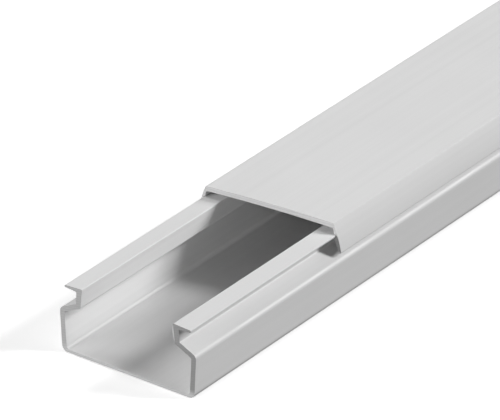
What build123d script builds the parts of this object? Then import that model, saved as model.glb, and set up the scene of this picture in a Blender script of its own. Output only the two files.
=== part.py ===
from build123d import *
import math
import os

# Two-piece cord cover raceway: a channel that is fixed to the wall and a cover that clips
# over its lips, both extruded in rigid PVC. Sizes are in millimetres.
# X runs across the raceway, Y along it, and +Z away from the wall.
# The origin is the centre of the base's flat back.

# Overall sizes
raceway_length = 400.0       # base and cover are sold in the same length
base_width = 30.0            # over the outer edges of the two shelves
overall_height = 16.0        # from the back of the base to the crown of the cover

# Section of the base
wall_thickness = 1.0
floor_thickness = 0.6
wall_lean = 0.45             # each wall stands this much further in at the floor
shelf_width = 3.6            # from the shelf's outer edge in to the neck
shelf_rise = 1.7             # how far the shelf climbs on its way to the neck
neck_height = 2.5            # from the shelf's inner edge to the underside of the lip
neck_lean = 0.15             # each neck stands this much further in at its head
neck_foot_thickness = 1.0
neck_head_thickness = 1.3
lip_reach = 2.6              # how far the lip stands out past the neck's head
lip_rise = 0.2               # how far its underside climbs towards the tip
lip_tip_thickness = 0.45
lip_fall = 0.2               # how far its top falls from the inner edge to the tip
lip_headroom = 1.35          # from the lip's inner edge to the underside of the closed cover
base_corner_radius = 1.2     # outer corner between floor and wall
base_hollow_radius = 0.7     # inner corner between floor and wall
shelf_edge_radius = 1.1
neck_root_radius = 0.25
shelf_hollow_radius = 0.5    # both corners under a shelf
lip_edge_radius = 0.2
lip_tip_radius = 0.18

# Section of the cover
cover_crown = 0.25           # how much the middle of the cover stands above its corners
cover_top_thickness = 0.95
cover_corner_radius = 1.4
cover_hollow_radius = 0.5
skirt_lean = 0.95            # the top of each skirt stands this much further in than its foot
skirt_thickness = 0.9
skirt_edge_thickness = 0.35  # at the bottom of the skirt, where the ramp runs out
skirt_gap = 1.5              # from the shelf's outer edge up to the bottom of the skirt
hook_overlap = 0.5           # how far each hook reaches in under its lip
hook_edge_radius = 0.1
skirt_edge_radius = 0.12
running_clearance = 0.1      # between a lip and the groove that it slides in

# How the cover lies on the base
cover_setback = 40.5         # its longer side starts this far behind the near end of the base
cover_cut_skew = 3.1         # degrees that its near end is sawn out of square


def crossing(a, b, c, d):
    """The point where the line through a and b meets the line through c and d."""
    (ax, az), (bx, bz), (cx, cz), (dx, dz) = a, b, c, d
    turn = (bx - ax) * (dz - cz) - (bz - az) * (dx - cx)
    along = ((cx - ax) * (dz - cz) - (cz - az) * (dx - cx)) / turn
    return (ax + along * (bx - ax), az + along * (bz - az))


def shifted(a, b, distance):
    """The line through a and b, moved by distance to the left of the way from a to b."""
    run = math.hypot(b[0] - a[0], b[1] - a[1])
    step = (-(b[1] - a[1]) / run * distance, (b[0] - a[0]) / run * distance)
    return (a[0] + step[0], a[1] + step[1]), (b[0] + step[0], b[1] + step[1])


def height_at(a, b, x):
    """The height of the line through a and b at x."""
    return crossing(a, b, (x, 0), (x, 1))[1]


def mirrored(point):
    return (-point[0], point[1])


def round_corners(section, corners):
    """Rounds the section's corners that lie at the given points, on both sides."""
    for point, radius in corners:
        for x, z in (point, mirrored(point)):
            corner = section.vertices().sort_by_distance((x, z, 0))[0]
            section = fillet(corner, radius)
    return section


def extruded(section, start, end):
    """The section, drawn across X and Z, as a bar that runs along Y from start to end."""
    across = Plane(origin=(0, start, 0), x_dir=(1, 0, 0), z_dir=(0, -1, 0))
    return extrude(across * section, amount=start - end)


# What stands above the shelves is the same for every depth of raceway: only the walls grow
lip_height = lip_rise + lip_tip_thickness + lip_fall
head_height = shelf_rise + neck_height + lip_height + lip_headroom + cover_top_thickness
shelf_height = overall_height - head_height

# Right half of the base, from its back corner up the outside and down the inside
half_width = base_width / 2
neck_face = half_width - shelf_width
neck_head = neck_face - neck_lean
lip_tip = neck_head + lip_reach

back_corner = (half_width - wall_lean, 0)
shelf_edge = (half_width, shelf_height)
shelf_root = (neck_face, shelf_height + shelf_rise)
lip_root = (neck_head, shelf_root[1] + neck_height)
tip_underside = (lip_tip, lip_root[1] + lip_rise)
tip_top = (lip_tip, tip_underside[1] + lip_tip_thickness)
lip_inner_edge = (neck_head - neck_head_thickness, tip_top[1] + lip_fall)

inner_wall = shifted(back_corner, shelf_edge, wall_thickness)
shelf_underside = shifted(shelf_edge, shelf_root, wall_thickness)
hollow_corner = crossing(*inner_wall, (0, floor_thickness), (1, floor_thickness))
shelf_hollow = crossing(*inner_wall, *shelf_underside)
neck_foot = (
    neck_face - neck_foot_thickness,
    height_at(*shelf_underside, neck_face - neck_foot_thickness),
)


def base_section():
    right = [
        back_corner, shelf_edge, shelf_root, lip_root, tip_underside, tip_top,
        lip_inner_edge, neck_foot, shelf_hollow, hollow_corner,
    ]
    left = [mirrored(point) for point in reversed(right)]
    section = make_face(Polyline(*right, *left, close=True))
    return round_corners(section, [
        (back_corner, base_corner_radius),
        (hollow_corner, base_hollow_radius),
        (shelf_edge, shelf_edge_radius),
        (shelf_root, neck_root_radius),
        (lip_root, neck_root_radius),
        (shelf_hollow, shelf_hollow_radius),
        (neck_foot, shelf_hollow_radius),
        (lip_inner_edge, lip_edge_radius),
        (tip_underside, lip_tip_radius),
        (tip_top, lip_tip_radius),
    ])


# Right half of the cover, from its corner down the outside and up the inside
top_corner = (half_width - skirt_lean, overall_height - cover_crown)
skirt_bottom = shelf_height + skirt_gap
skirt_foot = (half_width, skirt_bottom)
ramp_foot = (half_width - skirt_edge_thickness, skirt_bottom)
skirt_inside = shifted(top_corner, skirt_foot, -skirt_thickness)

# The groove follows the lip's underside, tip and top, one clearance away
groove_floor = shifted(lip_root, tip_underside, -running_clearance)
groove_roof = shifted(tip_top, lip_inner_edge, -running_clearance)
groove_face = lip_tip + running_clearance
hook_tip_x = lip_tip - hook_overlap
hook_tip = (hook_tip_x, height_at(*groove_floor, hook_tip_x))
groove_bottom = (groove_face, height_at(*groove_floor, groove_face))
groove_top = (groove_face, height_at(*groove_roof, groove_face))
groove_shoulder = crossing(*skirt_inside, *groove_roof)


def cover_section():
    under_crown = overall_height - cover_top_thickness
    under_corner = crossing(
        *skirt_inside,
        (0, top_corner[1] - cover_top_thickness),
        (1, top_corner[1] - cover_top_thickness),
    )
    right = [
        top_corner, skirt_foot, ramp_foot, hook_tip, groove_bottom, groove_top,
        groove_shoulder, under_corner,
    ]
    left = [mirrored(point) for point in right]
    outline = (
        ThreePointArc(mirrored(top_corner), (0, overall_height), top_corner)
        + Polyline(*right)
        + ThreePointArc(under_corner, (0, under_crown), mirrored(under_corner))
        + Polyline(*left)
    )
    section = make_face(outline)
    return round_corners(section, [
        (top_corner, cover_corner_radius),
        (under_corner, cover_hollow_radius),
        (hook_tip, hook_edge_radius),
        (skirt_foot, skirt_edge_radius),
        (ramp_foot, skirt_edge_radius),
    ])


near_end = -raceway_length / 2
far_end = raceway_length / 2


def make_base():
    return extruded(base_section(), near_end, far_end)


def make_cover():
    """The cover, as long as the base on its longer side and sawn askew at the near end."""
    start = near_end + cover_setback
    bar = extruded(cover_section(), start, start + raceway_length)
    skew = math.radians(cover_cut_skew)
    cut = Plane(
        origin=(-half_width, start, 0),
        x_dir=(math.cos(skew), math.sin(skew), 0),
        z_dir=(-math.sin(skew), math.cos(skew), 0),
    )
    return split(bar, bisect_by=cut, keep=Keep.TOP)


os.makedirs("parts", exist_ok=True)
for name, piece in {"base": make_base(), "cover": make_cover()}.items():
    export_step(piece, f"parts/{name}.step")
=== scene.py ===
import math
import random

import bmesh
import bpy
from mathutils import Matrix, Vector


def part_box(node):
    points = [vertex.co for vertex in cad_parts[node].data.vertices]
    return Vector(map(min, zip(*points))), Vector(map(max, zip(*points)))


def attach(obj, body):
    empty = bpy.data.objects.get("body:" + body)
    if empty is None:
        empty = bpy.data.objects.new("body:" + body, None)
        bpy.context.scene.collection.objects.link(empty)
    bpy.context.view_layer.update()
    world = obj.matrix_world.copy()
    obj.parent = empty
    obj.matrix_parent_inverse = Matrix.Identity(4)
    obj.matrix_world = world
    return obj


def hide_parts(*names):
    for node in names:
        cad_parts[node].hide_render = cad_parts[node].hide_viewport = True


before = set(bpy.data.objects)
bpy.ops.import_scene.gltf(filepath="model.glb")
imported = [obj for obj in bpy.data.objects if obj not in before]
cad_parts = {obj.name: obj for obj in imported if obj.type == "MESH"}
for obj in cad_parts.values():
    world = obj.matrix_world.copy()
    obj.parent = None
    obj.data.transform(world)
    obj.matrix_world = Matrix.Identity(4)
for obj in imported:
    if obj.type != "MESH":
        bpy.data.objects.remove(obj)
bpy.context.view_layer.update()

mm = 0.001
print("frame loaded with", ", ".join(sorted(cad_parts)))


def linear(hexColour):
    # sRGB hex to the linear values that the shaders take
    shares = [int(hexColour[i:i + 2], 16) / 255 for i in (1, 3, 5)]
    return [s / 12.92 if s <= 0.04045 else ((s + 0.055) / 1.055) ** 2.4 for s in shares] + [1.0]


def addNode(tree, kind, settings=None, values=None, links=None):
    node = tree.nodes.new(kind)
    for name, value in (settings or {}).items():
        setattr(node, name, value)
    for socket, value in (values or {}).items():
        node.inputs[socket].default_value = value
    for socket, source in (links or {}).items():
        tree.links.new(source, node.inputs[socket])
    return node


def newMaterial(name):
    material = bpy.data.materials.new(name)
    material.use_nodes = True
    material.node_tree.nodes.clear()
    return material, material.node_tree


def newPiece(name, mesh, material):
    # an object of its own from the faces gathered in a bmesh
    bmesh.ops.recalc_face_normals(mesh, faces=mesh.faces)
    data = bpy.data.meshes.new(name)
    mesh.to_mesh(data)
    mesh.free()
    data.materials.append(material)
    piece = bpy.data.objects.new(name, data)
    bpy.context.scene.collection.objects.link(piece)
    return piece


# Extruded rigid PVC (uPVC): drawn hot through a steel die and cooled in a sizing tank, so it is smooth and
# satin, with faint lines along its length where the die's land is scratched, and slow waves where it cooled
# unevenly. Its colour goes right through.
extrudedLook = {
    "colour": "#E4E4E4",
    "streakColour": "#DADADA",   # in the die lines
    "ior": 1.53,
    "roughness": (0.42, 0.52),   # from one wave to the next
    "dieLineSpacing": 0.9,       # mm across; real ones are nearer 0.3, drawn coarser so that they show
    "dieLineLength": 260.0,      # mm before a line fades out
    "dieLineDepth": 0.007,       # mm
    "dieLineDetail": 3.0,        # finer lines between the wide ones
    "dieLineRaggedness": 0.6,
    "wave": 14.0,                # mm between the slow waves of the cooled surface
    "waveDepth": 0.01,           # mm
    "grain": 0.35,               # mm, the fine matt skin
    "grainDepth": 0.005,         # mm
}
noiseRange = (0.3, 0.7)          # nearly all values of a noise texture lie between these


def extrudedUpvc(name, look):
    material, tree = newMaterial(name)
    place = addNode(tree, "ShaderNodeTexCoord").outputs["Object"]
    perSpacing = 1 / (look["dieLineSpacing"] * mm)
    perLength = 1 / (look["dieLineLength"] * mm)
    stretched = addNode(tree, "ShaderNodeMapping",
                        values={"Scale": (perSpacing, perLength, perSpacing)}, links={"Vector": place})
    dieLines = addNode(tree, "ShaderNodeTexNoise",
                       values={"Scale": 1.0, "Detail": look["dieLineDetail"],
                               "Roughness": look["dieLineRaggedness"]},
                       links={"Vector": stretched.outputs[0]})
    waves = addNode(tree, "ShaderNodeTexNoise", values={"Scale": 1 / (look["wave"] * mm)},
                    links={"Vector": place})
    grain = addNode(tree, "ShaderNodeTexNoise", values={"Scale": 1 / (look["grain"] * mm)},
                    links={"Vector": place})
    colour = addNode(tree, "ShaderNodeMix", {"data_type": "RGBA"},
                     {"A": linear(look["streakColour"]), "B": linear(look["colour"])},
                     {"Factor": dieLines.outputs["Fac"]})
    rough = addNode(tree, "ShaderNodeMapRange",
                    values={"From Min": noiseRange[0], "From Max": noiseRange[1],
                            "To Min": look["roughness"][0], "To Max": look["roughness"][1]},
                    links={"Value": waves.outputs["Fac"]})
    bump = None
    for height, depth in ((waves, "waveDepth"), (dieLines, "dieLineDepth"), (grain, "grainDepth")):
        links = {"Height": height.outputs["Fac"]}
        if bump:
            links["Normal"] = bump.outputs[0]
        bump = addNode(tree, "ShaderNodeBump", values={"Distance": look[depth] * mm}, links=links)
    shader = addNode(tree, "ShaderNodeBsdfPrincipled", values={"IOR": look["ior"]},
                     links={"Base Color": colour.outputs["Result"], "Roughness": rough.outputs[0],
                            "Normal": bump.outputs[0]})
    addNode(tree, "ShaderNodeOutputMaterial", links={"Surface": shader.outputs[0]})
    return material


# Sawn uPVC: a fine-toothed saw leaves scores side by side across the section, which make it matt and a
# little greyer than the skin. The base's cut is coloured greyer towards its right wall and from just above
# the floor's thickness upward, and the cover's cut only a little greyer.
baseSawnLook = {
    "colour": "#E0E0E0",
    "greyingColour": "#A4A4A4",
    "greying": (0.35, 1.0),         # share of it on the left and on the right wall
    "greyingAbove": (0.6, 1.8),     # mm from the base's back, no greying below and full greying above
    "scoreShade": "#EBEBEB",     # darkens the scores a little
    "ior": 1.53,
    "roughness": 0.75,
    "scoreSpacing": 0.3,         # mm; the saw's own are nearer 0.2, drawn coarser so that they show
    "scoreDepth": 0.01,          # mm
    "scoreAngle": 24.0,          # degrees from level
    "scoreWander": 1.2,          # how far the scores stray from straight lines
    "scoreWanderScale": 2.0,
    "tear": 0.18,                # mm, the torn surface between the scores
    "tearDepth": 0.01,           # mm
    "tearDetail": 3.0,
}
# the cover's cut is coloured only a little greyer, evenly across
coverSawnLook = dict(baseSawnLook, greying=(0.1, 0.1))


def sawnUpvc(name, look):
    material, tree = newMaterial(name)
    place = addNode(tree, "ShaderNodeTexCoord").outputs["Object"]
    parts = addNode(tree, "ShaderNodeSeparateXYZ", links={"Vector": place})
    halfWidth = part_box("base")[1].x
    across = addNode(tree, "ShaderNodeMapRange",
                     values={"From Min": -halfWidth, "From Max": halfWidth,
                             "To Min": look["greying"][0], "To Max": look["greying"][1]},
                     links={"Value": parts.outputs["X"]})
    upward = addNode(tree, "ShaderNodeMapRange",
                     values={"From Min": look["greyingAbove"][0] * mm, "From Max": look["greyingAbove"][1] * mm},
                     links={"Value": parts.outputs["Z"]})
    # the cut is coloured greyer towards the right wall and upward from the floor's edge
    greying = addNode(tree, "ShaderNodeMath", {"operation": "MULTIPLY"},
                   links={0: across.outputs[0], 1: upward.outputs[0]})
    greyed = addNode(tree, "ShaderNodeMix", {"data_type": "RGBA"},
                     {"A": linear(look["colour"]), "B": linear(look["greyingColour"])},
                     {"Factor": greying.outputs[0]})
    turned = addNode(tree, "ShaderNodeMapping",
                     values={"Rotation": (0, math.radians(look["scoreAngle"]), 0)}, links={"Vector": place})
    # a wave texture repeats every 2 pi / (20 * scale)
    scores = addNode(tree, "ShaderNodeTexWave", {"bands_direction": "Z"},
                     {"Scale": 2 * math.pi / 20 / (look["scoreSpacing"] * mm),
                      "Distortion": look["scoreWander"], "Detail Scale": look["scoreWanderScale"]},
                     {"Vector": turned.outputs[0]})
    tears = addNode(tree, "ShaderNodeTexNoise",
                    values={"Scale": 1 / (look["tear"] * mm), "Detail": look["tearDetail"]},
                    links={"Vector": place})
    colour = addNode(tree, "ShaderNodeMix", {"data_type": "RGBA", "blend_type": "MULTIPLY"},
                     {"B": linear(look["scoreShade"])},
                     {"A": greyed.outputs["Result"], "Factor": scores.outputs["Fac"]})
    scoreBump = addNode(tree, "ShaderNodeBump", values={"Distance": look["scoreDepth"] * mm},
                        links={"Height": scores.outputs["Fac"]})
    tearBump = addNode(tree, "ShaderNodeBump", values={"Distance": look["tearDepth"] * mm},
                       links={"Height": tears.outputs["Fac"], "Normal": scoreBump.outputs[0]})
    shader = addNode(tree, "ShaderNodeBsdfPrincipled",
                     values={"IOR": look["ior"], "Roughness": look["roughness"]},
                     links={"Base Color": colour.outputs["Result"], "Normal": tearBump.outputs[0]})
    addNode(tree, "ShaderNodeOutputMaterial", links={"Surface": shader.outputs[0]})
    return material


sawnFacing = 0.9                 # a face is sawn where its normal lies along the raceway by more than this


def dressStock(node, skin, sawn):
    # the skin goes on the extruded faces and the second slot on the two sawn ends
    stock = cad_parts[node]
    stock.data.materials.clear()
    stock.data.materials.append(skin)
    stock.data.materials.append(sawn)
    for face in stock.data.polygons:
        face.material_index = 1 if abs(face.normal.y) > sawnFacing else 0


baseSkin = extrudedUpvc("base extruded uPVC", extrudedLook)
coverSkin = extrudedUpvc("cover extruded uPVC", extrudedLook)
dressStock("base", baseSkin, sawnUpvc("base sawn uPVC", baseSawnLook))
dressStock("cover", coverSkin, sawnUpvc("cover sawn uPVC", coverSawnLook))
print("base and cover dressed")


# The die and the saw leave their edges almost sharp, and handling dulls them
edgeLook = {
    "base": 0.07,                # mm
    "cover": 0.1,
    "sharperThan": 50.0,         # degrees between two faces for their edge to be eased
    "segments": 2,
    "join": 0.001,               # mm; the solid's faces come unjoined, and this closes them up
}


def joinFaces(stock, look):
    weld = stock.modifiers.new("joined faces", "WELD")
    weld.merge_threshold = look["join"] * mm


def easeEdges(stock, width, look):
    bevel = stock.modifiers.new("eased edges", "BEVEL")
    bevel.width = width * mm
    bevel.segments = look["segments"]
    bevel.limit_method = "ANGLE"
    bevel.angle_limit = math.radians(look["sharperThan"])


joinFaces(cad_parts["base"], edgeLook)
easeEdges(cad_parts["base"], edgeLook["base"], edgeLook)
print("edges of the base eased")


# The cover's skirts lean in more than the solid's, bow a little and meet the top in a crisp crease, and its
# near end is sawn further out of square. A copy of the solid loses what it has outside those faces.
coverLook = {
    "foot": (14.94, 10.5),       # mm, across the section, where the shaved face runs out
    "crease": (13.35, 15.78),
    "bow": 0.16,                 # mm, how far the middle of the face stands out
    "steps": 12,                 # flat strips that the bow is made of
    "beyond": 3.0,               # mm that the shaved part reaches past the solid
    "setback": (40.5, 43.0),     # mm from the base's near end, on the cover's left and on its right edge
}


def skirtShaving(look):
    # what comes off both skirts, as one mesh
    (footX, footZ), (creaseX, creaseZ) = look["foot"], look["crease"]
    height = math.hypot(creaseX - footX, creaseZ - footZ)
    outX, outZ = (creaseZ - footZ) / height, (footX - creaseX) / height
    section = []
    for step in range(-1, look["steps"] + 2):                # one step past either end of the face
        share = step / look["steps"]
        bow = 4 * look["bow"] * share * (1 - share)          # highest halfway up
        section.append((footX + share * (creaseX - footX) + bow * outX,
                        footZ + share * (creaseZ - footZ) + bow * outZ))
    section += [(creaseX + look["beyond"], section[-1][1]), (footX + look["beyond"], section[0][1])]
    low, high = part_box("cover")
    ends = [low.y - look["beyond"] * mm, high.y + look["beyond"] * mm]
    mesh = bmesh.new()
    for side in (1, -1):
        rings = [[mesh.verts.new((side * x * mm, y, z * mm)) for x, z in section] for y in ends]
        for i in range(len(section)):
            j = (i + 1) % len(section)
            mesh.faces.new((rings[0][i], rings[0][j], rings[1][j], rings[1][i])).smooth = True
        for ring in rings:
            mesh.faces.new(ring)
    return newPiece("shaving", mesh, coverSkin)


def sawAskew(stock, look):
    # the stock runs straight from end to end, so its near half has no other corners than those of the cut
    low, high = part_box("cover")
    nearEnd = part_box("base")[0].y
    left, right = look["setback"]
    for corner in stock.data.vertices:
        if corner.co.y < (low.y + high.y) / 2:
            share = (corner.co.x - low.x) / (high.x - low.x)
            corner.co.y = nearEnd + (left + share * (right - left)) * mm


def makeCover(look):
    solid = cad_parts["cover"]
    cover = bpy.data.objects.new("shaved_cover", solid.data.copy())
    bpy.context.scene.collection.objects.link(cover)
    sawAskew(cover, look)
    shaving = skirtShaving(look)
    cover.matrix_world = shaving.matrix_world = solid.matrix_world
    joinFaces(cover, edgeLook)
    cut = cover.modifiers.new("shaved skirts", "BOOLEAN")
    cut.operation = "DIFFERENCE"
    cut.solver = "EXACT"
    cut.object = shaving
    easeEdges(cover, edgeLook["cover"], edgeLook)
    cover.modifiers.new("flat faces", "WEIGHTED_NORMAL").keep_sharp = True    # flat up to the eased edges
    bpy.context.view_layer.update()
    # the finished mesh takes the copy's place, and no modifier stays on it
    finished = cover.evaluated_get(bpy.context.evaluated_depsgraph_get())
    data = bpy.data.meshes.new_from_object(finished)
    cover.modifiers.clear()
    cover.data = data
    bpy.data.objects.remove(shaving)
    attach(cover, "cover")
    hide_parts("cover")


makeCover(coverLook)
print("cover shaved to its real skirts and near end")


# A curl of plastic that the saw left folded into the channel, along the inner edge of the right neck
burrLook = {
    "foot": (10.34, 10.3),       # mm, across the section
    "head": (10.0, 13.3),
    "thickness": 0.14,           # mm at the root
    "thinnest": 0.3,             # share of the thickness that is left at both ends
    "reach": (0.2, 0.32),        # mm that it stands out from the neck, ragged between the two
    "root": 0.03,                # mm that its root lies in the neck and in front of the cut
    "fade": 0.4,                 # power of the sine that it runs out with, blunter as it nears 0
    "steps": 24,
    "seed": 7,
}


def makeBurr(look, body):
    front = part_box("base")[0].y / mm - look["root"]
    rand = random.Random(look["seed"])
    mesh = bmesh.new()
    rows = []
    for step in range(look["steps"] + 1):
        share = step / look["steps"]
        x, z = (foot + share * (head - foot) for foot, head in zip(look["foot"], look["head"]))
        fade = math.sin(math.pi * share) ** look["fade"]
        reach = fade * rand.uniform(*look["reach"])
        back = front + look["thickness"] * (look["thinnest"] + (1 - look["thinnest"]) * fade)
        corners = ((x + look["root"], front, z), (x - reach, front, z), (x + look["root"], back, z))
        rows.append([mesh.verts.new(Vector(corner) * mm) for corner in corners])
    for low, high in zip(rows, rows[1:]):
        for i in range(3):
            j = (i + 1) % 3
            mesh.faces.new((low[i], low[j], high[j], high[i]))
    mesh.faces.new(rows[0][::-1])
    mesh.faces.new(rows[-1])
    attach(newPiece("burr", mesh, baseSkin), body)


makeBurr(burrLook, "base")
print("burr on the near end made")


# The floor is a matt pale board that glows a little, so that the shadows on it stay faint
floorLook = {
    "colour": "#FFFFFF",
    "glow": 0.35,
    "roughness": 0.9,
    "size": 24.0,                # m
    "below": 0.05,               # mm under the raceway's back
}


def makeFloor(look):
    bpy.ops.mesh.primitive_plane_add(size=look["size"], location=(0, 0, -look["below"] * mm))
    floor = bpy.context.object
    floor.name = "floor"
    material, tree = newMaterial("matt painted board")
    shader = addNode(tree, "ShaderNodeBsdfPrincipled",
                     values={"Base Color": linear(look["colour"]), "Roughness": look["roughness"],
                             "Emission Color": linear(look["colour"]), "Emission Strength": look["glow"]})
    addNode(tree, "ShaderNodeOutputMaterial", links={"Surface": shader.outputs[0]})
    floor.data.materials.append(material)
    floor.visible_diffuse = False        # it throws no light back, so the raceway's lower faces stay dark
    floor.visible_glossy = False


makeFloor(floorLook)


# The lamps are broad soft sources far off. Azimuth 0 stands on the near side and 90 on the +X side. Angles
# are in degrees and strengths in watts per square metre.
lamps = {
    "key low": {"azimuth": 126, "elevation": 24, "spread": 12, "strength": 1.34},
    "key high": {"azimuth": 126, "elevation": 38, "spread": 12, "strength": 1.46},
    "front": {"azimuth": 330, "elevation": 12, "spread": 45, "strength": 2.65},
    "near right": {"azimuth": 35, "elevation": 26, "spread": 16, "strength": 0.24},
    "left": {"azimuth": 270, "elevation": 45, "spread": 16, "strength": 1.06},
}
# How brightly each side of the white room glows
room = {"left": 0.06, "right": 0.08, "near": 0.05, "far": 0.12, "above": 0.05, "below": 0.05}


def towards(azimuth, elevation):
    a, e = math.radians(azimuth), math.radians(elevation)
    return Vector((math.sin(a) * math.cos(e), -math.cos(a) * math.cos(e), math.sin(e)))


def makeLamps(lamps):
    for name, lamp in lamps.items():
        sun = bpy.data.lights.new(name, "SUN")
        sun.energy = lamp["strength"]
        sun.angle = math.radians(lamp["spread"])
        stand = bpy.data.objects.new(name, sun)
        stand.rotation_euler = towards(lamp["azimuth"], lamp["elevation"]).to_track_quat("Z", "Y").to_euler()
        bpy.context.scene.collection.objects.link(stand)


def makeRoom(room):
    # each side fades into its neighbours with the square of the cosine, so six equal sides give an even room
    world = bpy.data.worlds.new("studio room")
    bpy.context.scene.world = world
    world.use_nodes = True
    tree = world.node_tree
    tree.nodes.clear()
    direction = addNode(tree, "ShaderNodeTexCoord").outputs["Generated"]
    parts = addNode(tree, "ShaderNodeSeparateXYZ", links={"Vector": direction})
    total = None
    for side, axis, sign in (("left", "X", -1), ("right", "X", 1), ("near", "Y", -1), ("far", "Y", 1),
                             ("above", "Z", 1), ("below", "Z", -1)):
        facing = addNode(tree, "ShaderNodeMath", {"operation": "MULTIPLY", "use_clamp": True}, {1: sign},
                         {0: parts.outputs[axis]})
        lobe = addNode(tree, "ShaderNodeMath", {"operation": "POWER"}, {1: 2.0}, {0: facing.outputs[0]})
        glow = addNode(tree, "ShaderNodeMath", {"operation": "MULTIPLY_ADD"}, {1: room[side], 2: 0.0},
                       {0: lobe.outputs[0]})
        if total:
            tree.links.new(total, glow.inputs[2])
        total = glow.outputs[0]
    light = addNode(tree, "ShaderNodeBackground", values={"Color": linear("#FFFFFF")},
                    links={"Strength": total})
    addNode(tree, "ShaderNodeOutputWorld", links={"Surface": light.outputs[0]})


makeLamps(lamps)
makeRoom(room)
bpy.context.scene.view_settings.view_transform = "Standard"
print("floor, lamps and room placed")


# The camera looks down on the sawn ends from the near right, at a spot level with the cover's top and just in
# front of its edge
cameraLook = {
    "azimuth": 36.48,            # degrees, as for the lamps
    "elevation": 28.41,
    "distance": 1094.9,          # mm
    "lens": 441.9,               # mm
    "sensor": 36.0,              # mm
    "lookAt": (-1.28, -162.3, 16.0),     # mm
}


def makeCamera(look):
    camera = bpy.data.objects.new("camera", bpy.data.cameras.new("camera"))
    camera.data.lens = look["lens"]
    camera.data.sensor_width = look["sensor"]
    back = towards(look["azimuth"], look["elevation"])
    camera.location = (Vector(look["lookAt"]) + look["distance"] * back) * mm
    camera.rotation_euler = back.to_track_quat("Z", "Y").to_euler()
    bpy.context.scene.collection.objects.link(camera)
    bpy.context.scene.camera = camera


makeCamera(cameraLook)
print("camera placed")
